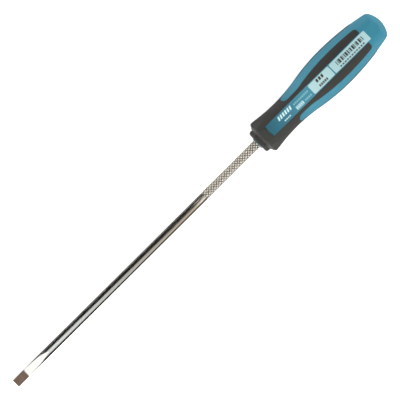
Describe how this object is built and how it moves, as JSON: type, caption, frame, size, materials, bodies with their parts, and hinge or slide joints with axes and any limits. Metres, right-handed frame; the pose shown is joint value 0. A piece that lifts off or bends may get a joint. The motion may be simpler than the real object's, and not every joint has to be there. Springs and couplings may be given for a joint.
{
  "type": "slotted screwdriver",
  "caption": "Slotted screwdriver: long round plated blade with a hollow-ground tip and a knurled band, in a soft-grip handle with a collar, hard fingers and label panels.",
  "frame": {"origin": "centre of the tip's end face", "axes": "+X along the tool from the tip to the butt, +Z out of the flat panel that carries the labels and square to the tip's facets, +Y across the tip"},
  "size_m": [0.2269, 0.0198, 0.0188],
  "materials": {
    "plated_steel": "bright plated round bar, knurled near the handle, ground bare facets, dark oxide on the tip",
    "core_plastic": "hard moulded polypropylene, blue-green",
    "hard_plastic": "hard moulded polypropylene, satin, blue-green",
    "soft_grip": "soft moulded elastomer, matt, dark grey",
    "label_film": "thin printed film, pale aqua"
  },
  "bodies": {
    "root": {"blade": "plated_steel", "handle_core": "core_plastic", "handle_body": "hard_plastic", "grip_sleeve": "soft_grip", "size_label": "label_film", "barcode_label": "label_film"}
  },
  "joints": []
}
